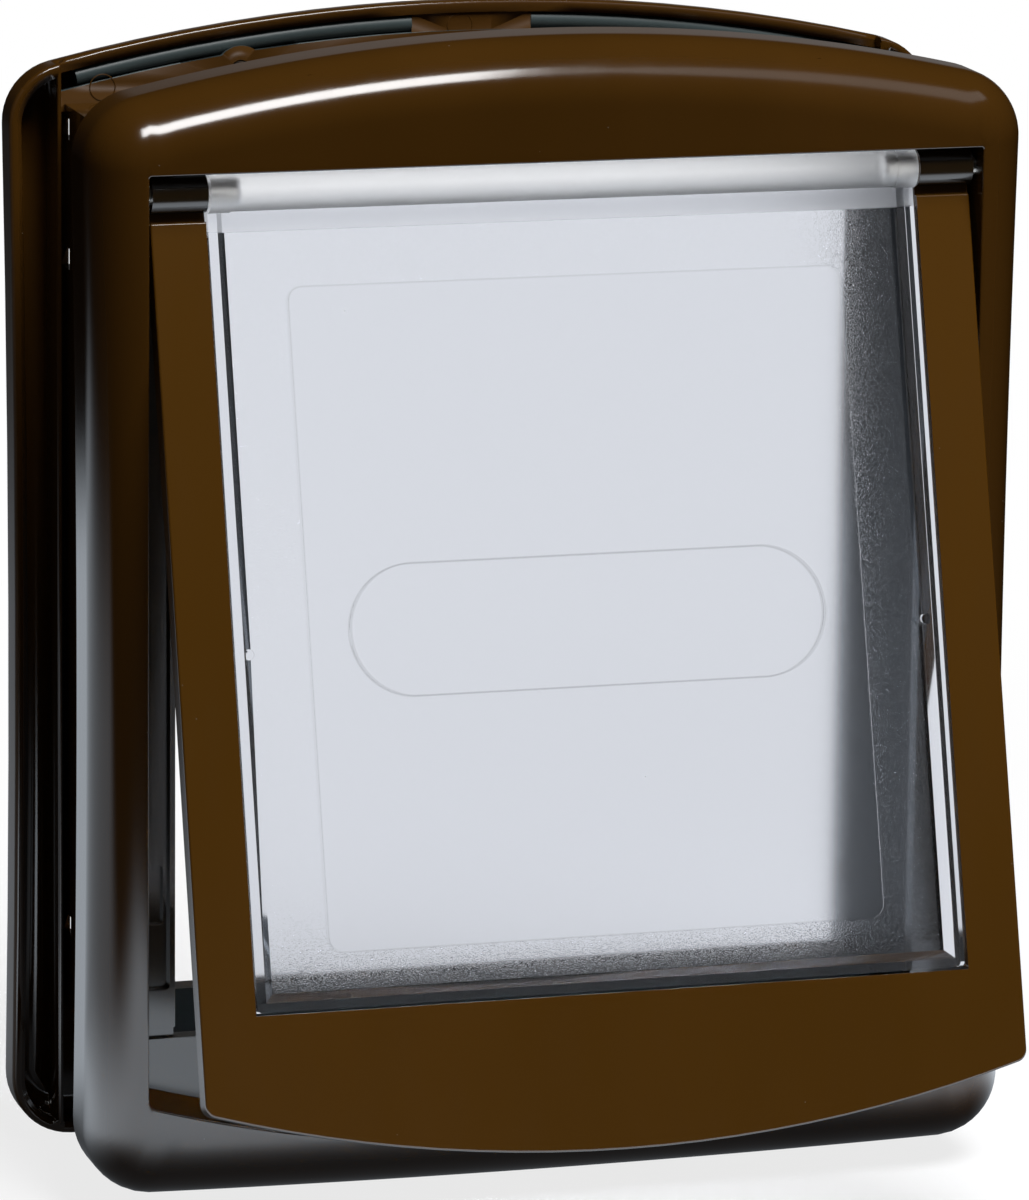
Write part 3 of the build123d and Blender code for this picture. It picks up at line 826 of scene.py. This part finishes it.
@dataclass
class OuterFrame(SubAssembly):
    """Arched outer frame: a rounded hollow border round the opening, and the walls that lead in.

    Attributes:
        border: The outer outline.
        depth: Depth from the door to the front.
        round_over: Radius of the rounded front.
        skin: Wall of the hollow border.
        half_opening: Half the opening's width.
        opening_top: Height of the opening's top.
        opening_bottom: Depth of the opening's sill in the middle.
        sill_radius: Radius of the sill's arc.
        top_corner: Corner radius at the opening's top.
        sill_corner: Corner radius at the sill.
        wall: Thickness of the opening's walls.
        wall_back: Y where the walls end.
        sill_rise: How far the opening climbs towards the door.
        edge: Rounding of the opening's front edge.
        widest: Width that no stretch of the border reaches.
        rings: Faces across the rounded front.
        inner_rings: Faces across the hollow behind it.
        screw_x: X of the screw bosses.
        screw_levels: Lowest and highest Z of the bosses at the top and at the bottom.
        boss_half: Half the width of a screw boss.
        boss_reach: Depth of a screw boss.
        ear_place: X and Z of the liner's screw bosses.
        ear_radius: Radius of those bosses.
        ear_front: Y where those bosses start.
    """

    border: ArchedBorder = field(default_factory=ArchedBorder)
    depth: float = 21.0 * MM
    round_over: float = 12.5 * MM
    skin: float = 2.2 * MM
    half_opening: float = 87.6 * MM
    opening_top: float = 95.6 * MM
    opening_bottom: float = 108.7 * MM
    sill_radius: float = 307.8 * MM
    top_corner: float = 0.6 * MM
    sill_corner: float = 2.5 * MM
    wall: float = 2.0 * MM
    wall_back: float = -9.5 * MM
    sill_rise: float = 1.8 * MM
    edge: float = 0.4 * MM
    widest: float = 60.0 * MM
    rings: int = 24
    inner_rings: int = 8
    screw_x: float = 50.0 * MM
    screw_levels: tuple[Flat, Flat] = ((101.2 * MM, 114.3 * MM), (-115.4 * MM, -107.6 * MM))
    boss_half: float = 3.85 * MM
    boss_reach: float = 15.5 * MM
    ear_place: Flat = (91.2 * MM, 60.0 * MM)
    ear_radius: float = 2.6 * MM
    ear_front: float = -17.0 * MM

    def build(self) -> None:
        """Models and installs the frame."""
        sections = [self.section(spot, way) for spot, way in self.stations()]
        piece = swept_ring("outer_frame", sections)
        join(piece, [*self.screw_bosses(), *self.ear_bosses()])
        polish(piece, angle=45.0)
        install(piece, self.finishes.shell, Body.FRAME, Slot.BROWN, "front_frame")

    def stations(self) -> list[Station]:
        """Goes once round the opening's edge.

        Returns:
            Places on the edge, each with the direction outwards from it.
        """
        half, top = self.half_opening, self.opening_top
        high = top - self.top_corner
        arc_z = self.sill_radius - self.opening_bottom
        corner_x = half - self.sill_corner
        inner = self.sill_radius - self.sill_corner
        corner_z = arc_z - math.sqrt(inner ** 2 - corner_x ** 2)
        lean = math.asin(corner_x / inner)
        quarter = math.pi / 2
        first = quarter - lean
        shoulder = half - self.top_corner
        return [
            *self.run((-shoulder, top), (shoulder, top), (0.0, 1.0), 96),
            *self.turn((shoulder, high), self.top_corner, quarter, 0.0, 16),
            *self.run((half, high), (half, corner_z), (1.0, 0.0), 80),
            *self.turn((corner_x, corner_z), self.sill_corner, 0.0, -first, 14),
            *self.turn((0.0, arc_z), self.sill_radius, -first, first - 2 * quarter, 64),
            *self.turn((-corner_x, corner_z), self.sill_corner, first - 2 * quarter, -2 * quarter, 14),
            *self.run((-half, corner_z), (-half, high), (-1.0, 0.0), 80),
            *self.turn((-shoulder, high), self.top_corner, 2 * quarter, quarter, 16),
        ]

    @staticmethod
    def run(first: Flat, last: Flat, way: Flat, count: int) -> list[Station]:
        """Stations on a straight edge, without its last point."""
        steps = [number / count for number in range(count)]
        return [((first[0] + (last[0] - first[0]) * part, first[1] + (last[1] - first[1]) * part), way)
                for part in steps]

    @staticmethod
    def turn(centre: Flat, radius: float, first: float, last: float, count: int) -> list[Station]:
        """Stations on an arc, without its last point.

        Args:
            centre: The arc's centre.
            radius: Its radius.
            first: Angle where it starts.
            last: Angle where it ends.
            count: Number of stations.

        Returns:
            The stations.
        """
        angles = [first + (last - first) * number / count for number in range(count)]
        ways = [(math.cos(angle), math.sin(angle)) for angle in angles]
        return [((centre[0] + radius * way[0], centre[1] + radius * way[1]), way) for way in ways]

    def section(self, spot: Flat, way: Flat) -> list[Vector]:
        """Closed section of the border at a station.

        Args:
            spot: Place on the opening's edge, in X and Z.
            way: Direction outwards from it.

        Returns:
            The section's points, from the door face over the front to the opening and back inside.
        """
        def inset(away: float) -> float:
            """Distance from the frame's outer edge at a distance from the opening."""
            return self.border.inset(spot[0] + away * way[0], spot[1] + away * way[1])

        def away(target: float) -> float:
            """Finds where the inset has a value.

            Args:
                target: The value.

            Returns:
                The distance from the opening.
            """
            near, far = 0.0, self.widest
            for _ in range(26):
                middle = (near + far) / 2
                near, far = (middle, far) if inset(middle) > target else (near, middle)
            return near

        def point(distance: float, y: float, leans: bool = False) -> Vector:
            """Point at a distance from the opening's edge; the walls lean up towards the door."""
            rise = self.sill_rise * (y + self.depth) / (self.wall_back + self.depth) if leans else 0.0
            return Vector((spot[0] + distance * way[0], y, spot[1] + distance * way[1] + rise))

        shoulder = self.round_over - self.depth
        lip = inset(self.edge)
        turned = math.acos(max(0.0, 1 - lip / self.round_over))
        flat = max(0.0, lip - self.round_over)
        length = self.round_over * turned + flat
        outer = away(0.0)
        points = [point(outer, 0.0), point(outer, shoulder / 2)]
        crest = shoulder
        for number in range(self.rings + 1):
            along = length * number / self.rings
            angle = min(along / self.round_over, turned)
            rest = max(0.0, along - self.round_over * turned)
            crest = shoulder - self.round_over * math.sin(angle)
            target = self.round_over * (1 - math.cos(angle)) + rest
            distance = outer if number == 0 else self.edge if number == self.rings else away(target)
            points.append(point(distance, crest))
        for angle in (math.pi / 6, math.pi / 3, math.pi / 2):
            points.append(point(self.edge * (1 - math.sin(angle)), crest + self.edge * (1 - math.cos(angle)),
                                True))
        points.append(point(0.0, (crest + self.wall_back) / 2, True))
        points.append(point(0.0, self.wall_back, True))
        points.append(point(self.wall, self.wall_back, True))
        inner = inset(self.wall)
        radius = self.round_over - self.skin
        for number in range(self.inner_rings + 1):
            target = inner + (self.skin - inner) * number / self.inner_rings
            drop = max(0.0, self.round_over - target)
            distance = self.wall if number == 0 else away(target)
            points.append(point(distance, shoulder - math.sqrt(max(0.0, radius ** 2 - drop ** 2))))
        points.append(point(away(self.skin), 0.0))
        return points

    def screw_bosses(self) -> list[Object]:
        """Square bosses round the fixing screws."""
        half = self.boss_half
        return [block((x - half, -self.boss_reach, low), (x + half, 0.0, high))
                for x in (-self.screw_x, self.screw_x) for low, high in self.screw_levels]

    def ear_bosses(self) -> list[Object]:
        """Round bosses for the liner's screws, beside the opening's walls.

        Returns:
            The four bosses.
        """
        x, z = self.ear_place
        length = self.wall_back - self.ear_front
        return [start(bpy.ops.mesh.primitive_cylinder_add, vertices=32, radius=self.ear_radius, depth=length,
                      location=(side * x, self.ear_front + length / 2, level * z),
                      rotation=(math.pi / 2, 0.0, 0.0))
                for side in (-1, 1) for level in (-1, 1)]


@dataclass
class TunnelLiner(SubAssembly):
    """Stop flange and tunnel.

    Attributes:
        rounding: Rounding of the moulded edges.
        flange_back: Y where the flange ends and the dull tunnel, painted darker with a blue-green cast as
            painted shade, starts.
    """

    rounding: float = 0.3 * MM
    flange_back: float = -5.2 * MM

    def build(self) -> None:
        """Models and installs the liner."""
        piece = node_copy("tunnel_liner", "tunnel_and_flange", flatten)
        polish(piece, self.rounding)
        # The flange and the tunnel are painted near-black: painted shade inside the opening.
        install(piece, self.finishes.dark, Body.FRAME, Slot.BROWN, "tunnel_liner")
        repaint(piece, self.finishes.tunnel, lambda face: face.center.y > self.flange_back)


@dataclass
class RearFrame(SubAssembly):
    """Inner frame with its sleeve and ribs.

    Attributes:
        rim_front: Y of the rim's and the top land's faces towards the door.
        rim_reach: Least distance of the rim's outer sides and corners from the middle, across and up.
        rim_bottom: Z that the rim's bottom lies under.
        land_half: Half the width of the land under the crown.
        rounding: Rounding of the rim's outer edge.
        mark_places: Ejector marks on the top land and on the pad behind the rim.
        mark_radius: Radius of a mark.
        mark_line: Half the width of a mark's ring.
        arch_radius: Radius of the crown's arc.
        channel: Least and greatest depth of the channel under the crown.
        channel_run: X where the channel starts, beside the pad, and where it ends.
        bead_front: Y where the beads in the channel start.
        bead_radius: Radius of a bead.
        square: Least part of a normal along an axis for a face that is square to it.
        slack: Room for a face's middle to lie off its plane.
        crown: Z of the crown, read from the welded frame.
    """

    rim_front: Flat = (50.0 * MM, 54.0 * MM)
    rim_reach: Flat = (97.0 * MM, 110.0 * MM)
    rim_bottom: float = -120.0 * MM
    land_half: float = 89.2 * MM
    rounding: float = 0.9 * MM
    mark_places: tuple[Place, ...] = (
        (-79.6 * MM, 54.0 * MM, 102.4 * MM), (-2.5 * MM, 54.6 * MM, 113.0 * MM),
        (79.6 * MM, 54.0 * MM, 102.4 * MM))
    mark_radius: float = 2.7 * MM
    mark_line: float = 0.14 * MM
    arch_radius: float = 395.0 * MM
    channel: Flat = (2.5 * MM, 6.5 * MM)
    channel_run: Flat = (13.0 * MM, 85.0 * MM)
    bead_front: float = 54.3 * MM
    bead_radius: float = 1.85 * MM
    square: float = 0.9
    slack: float = 0.1 * MM
    crown: float = field(init=False)

    def build(self) -> None:
        """Models and installs the frame."""
        piece = node_copy("rear_frame", "inner_frame")
        self.crown = max(vertex.co.z for vertex in piece.data.vertices)
        self.round_rim(piece)
        join(piece, [*self.marks(), *self.beads()])
        polish(piece)
        install(piece, self.finishes.shell, Body.FRAME, Slot.BROWN, "rear_frame")
        repaint(piece, self.finishes.side, self.is_dull)
        # Painted reflection: the channel and its beads lie in shade and are painted blue-grey.
        repaint(piece, self.finishes.channel, self.in_channel)

    def is_dull(self, face: MeshPolygon) -> bool:
        """Whether a face lies on the rim's sides or on the land under the crown.

        Args:
            face: A face of the frame.

        Returns:
            True for such a face.
        """
        x, y, _ = face.center
        side = abs(x) > self.rim_reach[0] and abs(face.normal.x) > 0.3
        level = face.normal.y < -self.square and abs(y - self.rim_front[1]) < 10 * self.slack
        return side or (level and abs(x) < self.land_half)

    def in_channel(self, face: MeshPolygon) -> bool:
        """Whether a face lies in the channel under the crown.

        Args:
            face: A face of the frame.

        Returns:
            True for such a face.
        """
        inmost = self.channel_run[0] if face.normal.z < self.square else 0.0
        back = self.bead_front + 2 * self.bead_radius
        return (self.channel[0] < self.under_crown(face) < self.channel[1]
                and self.rim_front[1] + self.slack / 2 < face.center.y < back
                and inmost - self.slack < abs(face.center.x) < self.land_half)

    def under_crown(self, face: MeshPolygon) -> float:
        """Depth of a face's middle under the crown's arc."""
        return self.arch_radius - math.hypot(face.center.x, face.center.z - self.crown + self.arch_radius)

    def beads(self) -> list[Object]:
        """Round beads that fill the channel under the crown.

        Returns:
            The beads on the left and on the right of the pad.
        """
        radius = self.arch_radius - sum(self.channel) / 2
        level = self.bead_front + self.bead_radius
        centre = (0.0, level, self.crown - self.arch_radius)
        first, last = (math.asin(x / radius) for x in self.channel_run)
        made = []
        for side in (-1, 1):
            lean = side * first
            bead = start(bpy.ops.mesh.primitive_circle_add, vertices=20, radius=self.bead_radius,
                         location=(radius * math.sin(lean), level, centre[2] + radius * math.cos(lean)),
                         rotation=(0.0, math.pi / 2 + lean, 0.0))
            edit(bead, lambda: bpy.ops.mesh.spin(steps=30, angle=side * (first - last), center=centre,
                                                 axis=(0.0, 1.0, 0.0)), close_ends, face_outwards)
            made.append(bead)
        return made

    def is_outer(self, face: MeshPolygon) -> bool:
        """Whether a face lies on the rim's outer side.

        Args:
            face: A face of the frame.

        Returns:
            True for such a face.
        """
        if abs(face.normal.y) > 0.2:
            return False
        if abs(face.center.x) < self.land_half:
            return self.under_crown(face) < 0.5 * self.channel[0] or face.center.z < self.rim_bottom
        away = face.center.x * face.normal.x + face.center.z * face.normal.z
        return away > math.hypot(self.rim_reach[0] * face.normal.x, self.rim_reach[1] * face.normal.z)

    def is_front(self, face: MeshPolygon) -> bool:
        """Whether a face lies on the rim, towards the door."""
        low, high = self.rim_front
        return face.normal.y < -self.square and low - self.slack < face.center.y < high + self.slack

    def round_rim(self, piece: Object) -> None:
        """Rounds the rim's outer edge towards the door.

        Args:
            piece: The welded frame.
        """
        mesh = piece.data
        outer, front = ({key for face in mesh.polygons if lies(face) for key in face.edge_keys}
                        for lies in (self.is_outer, self.is_front))
        edit(piece, lambda: bpy.ops.mesh.select_mode(type="EDGE"),
             lambda: bpy.ops.mesh.select_all(action="DESELECT"))
        for one in mesh.edges:
            one.select = one.key in outer and one.key in front
        bpy.ops.object.mode_set(mode="EDIT")
        bpy.ops.mesh.bevel(offset=self.rounding, segments=4, affect="EDGES")
        bpy.ops.object.mode_set(mode="OBJECT")

    def marks(self) -> list[Object]:
        """Thin rings that the ejector pins left."""
        return [start(bpy.ops.mesh.primitive_torus_add, major_radius=self.mark_radius,
                      minor_radius=self.mark_line, major_segments=48, minor_segments=8, location=place,
                      rotation=(math.pi / 2, 0.0, 0.0)) for place in self.mark_places]


@dataclass
class SwingPanel(SubAssembly):
    """Brown panel round the window.

    Attributes:
        rounding: Rounding of the moulded edges.
        knuckle: Radius round the hinge line inside which the knuckles are painted near-black, a painted shade
            under the frame's top border.
    """

    rounding: float = 0.25 * MM
    knuckle: float = 4.1 * MM

    def build(self) -> None:
        """Models and installs the panel."""
        piece = node_copy("swing_panel", "outward_panel", flatten)
        polish(piece, self.rounding)
        install(piece, self.finishes.panel, Body.PANEL, Slot.BROWN, "swing_panel")
        # Painted shade: the knuckles round the hinge line are painted near-black.
        repaint(piece, self.finishes.dark, near_hinge(self.knuckle))


@dataclass
class ClearFlap(SubAssembly):
    """Clear flap with its hinge tube.

    Attributes:
        tube: Radius round the hinge line that the frosted tube fills.
    """

    tube: float = 4.2 * MM

    def build(self) -> None:
        """Models and installs the flap."""
        piece = node_copy("clear_flap", "inward_flap", flatten)
        polish(piece)
        install(piece, self.finishes.clear, Body.FLAP, Slot.CLEAR, "clear_flap")
        repaint(piece, self.finishes.tube, near_hinge(self.tube))


@dataclass
class Hardware(SubAssembly):
    """Pins, screws and caps.

    Attributes:
        steel_nodes: CAD nodes of plated steel.
    """

    steel_nodes: Sequence[str] = ("hinge_pin_left", "hinge_pin_right", "fixing_screws", "liner_screws")

    def build(self) -> None:
        """Dresses the small parts."""
        for node in self.steel_nodes:
            piece = node_copy(node, f"{node}_plated")
            polish(piece)
            install(piece, self.finishes.steel, Body.FRAME, Slot.STEEL, node)
        piece = node_copy("screw_caps", "screw_head_caps")
        polish(piece)
        install(piece, self.finishes.shell, Body.FRAME, Slot.BROWN, "screw_caps")


# Studio

WHITE = (1.0, 1.0, 1.0, 1.0)


@dataclass
class Softbox:
    """Rectangular lamp that the camera doesn't see.

    Attributes:
        name: The lamp's name.
        place: Its position.
        aim: The point that it faces.
        width: Size across.
        height: Size up.
        glow: Radiance.
        mirrored: Whether it shows in glossy surfaces.
        lights: Whether it lights dull surfaces.
    """

    name: str
    place: Place
    aim: Place
    width: float
    height: float
    glow: float
    mirrored: bool = True
    lights: bool = True

    def build(self) -> None:
        """Adds the lamp."""
        data = bpy.data.lights.new(self.name, "AREA")
        data.shape = "RECTANGLE"
        data.size = self.width
        data.size_y = self.height
        data.energy = self.glow * math.pi * self.width * self.height
        lamp = bpy.data.objects.new(self.name, data)
        bpy.context.scene.collection.objects.link(lamp)
        lamp.location = self.place
        lamp.rotation_euler = (Vector(self.aim) - Vector(self.place)).to_track_quat("-Z", "Y").to_euler()
        lamp.visible_camera = False
        lamp.visible_glossy = self.mirrored
        lamp.visible_diffuse = self.lights


@dataclass(frozen=True)
class FloorPatch:
    """Patch of painted glow on the floor, with soft borders, each from where it starts to where it ends.

    Attributes:
        left: X of the left border.
        right: X of the right border.
        front: Y of the front border.
        back: Y of the back border.
        level: Radiance inside.
    """

    left: Flat
    right: Flat
    front: Flat
    back: Flat
    level: float

    def value(self, shader: Shader, axes: Node) -> NodeSocket:
        """Radiance at a place on the floor.

        Args:
            shader: The floor's shader.
            axes: Separated coordinates on the floor.

        Returns:
            The radiance's value.
        """
        level = self.level
        for axis, rise, fall in (("X", self.left, self.right), ("Y", self.front, self.back)):
            place = axes.outputs[axis]
            level = shader.math("MULTIPLY", level, shader.ramp(place, *rise))
            level = shader.math("MULTIPLY", level, shader.ramp(place, *fall, 1.0, 0.0))
        return level


@dataclass
class Studio:
    """Camera, floor, lights and backdrop.

    Attributes:
        photo_width: Photograph's width in pixels.
        focal_px: Focal length in pixels.
        eye: Camera position.
        right: Camera's right in the model's frame.
        up: Camera's up in the model's frame.
        sensor: Sensor width in millimetres.
        pool: Painted glow on the floor in front of the object, seen only in reflections.
        side_pool: Painted glow on the floor to the left of the object and behind it, seen only in
            reflections.
        foot: Half the width of the object's footprint, and its front and back.
        foot_shade: How far the painted shadow reaches round the footprint.
        backdrop_way: Direction of the white backdrop, straight behind the object.
    """

    photo_width: float = 1029.0
    focal_px: float = 7720.725
    eye: Place = (-0.443131, -1.492589, 0.340685)
    right: Place = (0.96013752, -0.27933904, 0.01027774)
    up: Place = (0.04991734, 0.20751992, 0.97695637)
    sensor: float = 36.0
    pool: FloorPatch = FloorPatch((-0.30, -0.16), (0.30, 0.50), (-0.31, -0.20), (0.0, 0.14), 3.3)
    side_pool: FloorPatch = FloorPatch((-0.90, -0.50), (0.0, 0.20), (-0.14, -0.03), (0.60, 0.82), 1.1)
    foot: Place = (0.10, -0.02, 0.06)
    foot_shade: float = 0.09
    backdrop_way: Place = (0.28, 0.96, 0.0)

    def build(self) -> None:
        """Sets up the whole studio."""
        self.camera()
        self.floor()
        self.painted_floor_glow()
        self.world()
        crown = (0.0, 0.0, 0.08)
        Softbox("overhead_strip", (-0.05, -0.72, 1.08), crown, 0.68, 0.33, 24.0, lights=False).build()
        Softbox("strip_tail", (0.66, -0.46, 1.02), crown, 0.9, 0.25, 1.1, lights=False).build()
        Softbox("key_box", (0.24, -0.73, 1.29), (0.0, 0.0, 0.0), 0.7, 0.7, 27.0, mirrored=False).build()

    def camera(self) -> None:
        """Camera at the photograph's angle."""
        data = bpy.data.cameras.new("camera")
        data.sensor_width = self.sensor
        data.sensor_fit = "HORIZONTAL"
        data.lens = self.focal_px * self.sensor / self.photo_width
        data.clip_end = 50.0
        camera = bpy.data.objects.new("camera", data)
        bpy.context.scene.collection.objects.link(camera)
        right = Vector(self.right).normalized()
        back = right.cross(Vector(self.up)).normalized()
        axes = Matrix((right, back.cross(right), back)).transposed().to_4x4()
        camera.matrix_world = Matrix.Translation(self.eye) @ axes
        bpy.context.scene.camera = camera

    @staticmethod
    def plane(name: str, size: float, drop: float) -> tuple[Object, Shader]:
        """Level plane under the object, with an empty material.

        Args:
            name: The plane's name.
            size: Its side.
            drop: Its distance under the object.

        Returns:
            The plane and its material's shader.
        """
        bpy.ops.object.select_all(action="DESELECT")
        bpy.ops.mesh.primitive_plane_add(size=size, location=(0.0, 0.0, CAD_BOX[0][2] - drop))
        plane = bpy.context.active_object
        plane.name = name
        material = bpy.data.materials.new(name)
        material.use_nodes = True
        material.node_tree.nodes.clear()
        plane.data.materials.append(material)
        return plane, Shader(material.node_tree)

    @staticmethod
    def seen(shader: Shader, rays: Node) -> NodeSocket:
        """1 for the camera's own rays and for those through the clear flap."""
        return shader.math("MAXIMUM", rays.outputs["Is Camera Ray"], rays.outputs["Is Transmission Ray"])

    def floor(self) -> None:
        """Pale floor that keeps a soft shadow and is white to the camera and through the flap."""
        plane, shader = self.plane("floor", 30.0, 0.2 * MM)
        rays = shader.add("ShaderNodeLightPath")
        lit = shader.add("ShaderNodeBsdfDiffuse", {"Color": (0.80, 0.80, 0.82, 1.0)})
        glow = shader.add("ShaderNodeEmission", {"Color": WHITE, "Strength": 1.0})
        away = shader.add("ShaderNodeVectorMath", {0: shader.place()}, operation="LENGTH")
        white = shader.ramp(away.outputs["Value"], 0.15, 0.6, 0.8, 1.0)
        blend = shader.add("ShaderNodeMixShader", {0: shader.math("MULTIPLY", self.seen(shader, rays), white),
                                                   1: lit.outputs[0], 2: glow.outputs[0]})
        shader.add("ShaderNodeOutputMaterial", {0: blend.outputs[0]})
        plane.visible_glossy = False
        plane.visible_diffuse = False

    def painted_floor_glow(self) -> None:
        """Painted glow on a card at the floor near the object, which only the glossy plastic mirrors, with a
        painted shadow round the footprint.
        """
        plane, shader = self.plane("painted_floor_glow", 4.0, 0.1 * MM)
        axes = shader.add("ShaderNodeSeparateXYZ", {0: shader.place()})
        level = shader.math("ADD", self.pool.value(shader, axes), self.side_pool.value(shader, axes))
        # Painted shadow: the glow fades near the object's footprint.
        level = shader.math("MULTIPLY", level, self.painted_foot_shadow(shader, axes))
        glow = shader.add("ShaderNodeEmission", {"Color": (0.83, 0.91, 1.0, 1.0), "Strength": level})
        shader.add("ShaderNodeOutputMaterial", {0: glow.outputs[0]})
        plane.visible_camera = False
        plane.visible_diffuse = False
        plane.visible_transmission = False
        plane.visible_shadow = False

    def painted_foot_shadow(self, shader: Shader, axes: Node) -> NodeSocket:
        """Painted shadow: share of the floor's glow that is left near the object's footprint.

        Args:
            shader: The floor's shader.
            axes: Separated coordinates on the floor.

        Returns:
            The share's value.
        """
        half, front, back = self.foot
        beside = shader.math("SUBTRACT", shader.math("ABSOLUTE", axes.outputs["X"]), half)
        before = shader.math("MAXIMUM", shader.math("SUBTRACT", front, axes.outputs["Y"]),
                             shader.math("SUBTRACT", axes.outputs["Y"], back))
        return shader.ramp(shader.past((beside, before)), 0.0, self.foot_shade, 0.03, 1.0)

    def world(self) -> None:
        """White backdrop behind the object and through the clear flap, in a dim room."""
        world = bpy.data.worlds.new("studio")
        bpy.context.scene.world = world
        world.use_nodes = True
        world.node_tree.nodes.clear()
        shader = Shader(world.node_tree)
        rays = shader.add("ShaderNodeLightPath")
        ways = shader.add("ShaderNodeTexCoord").outputs["Generated"]
        behind = shader.add("ShaderNodeVectorMath", {0: ways, 1: self.backdrop_way}, operation="DOT_PRODUCT")
        backdrop = shader.ramp(behind.outputs["Value"], 0.94, 0.98, 0.02, 1.0)
        glossy = shader.math("MULTIPLY", rays.outputs["Is Glossy Ray"], 0.15)
        mirrored = shader.math("MULTIPLY", backdrop, glossy)
        room = shader.math("MULTIPLY", rays.outputs["Is Diffuse Ray"], 0.1)
        level = shader.math("MAXIMUM", shader.math("MAXIMUM", mirrored, room), self.seen(shader, rays))
        back = shader.add("ShaderNodeBackground", {"Color": WHITE, "Strength": level})
        shader.add("ShaderNodeOutputWorld", {0: back.outputs[0]})


def write_sizes() -> None:
    """Brings the view layer up to date."""
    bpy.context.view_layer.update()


def main() -> None:
    """Builds the object and the studio."""
    logging.basicConfig(level=logging.INFO, format="%(message)s")
    finishes = Finishes()
    for assembly in (OuterFrame, TunnelLiner, RearFrame, SwingPanel, ClearFlap, Hardware):
        assembly(finishes).build()
    Studio().build()
    bpy.context.scene.view_settings.view_transform = "Standard"
    write_sizes()


if __name__ == "__main__":
    main()
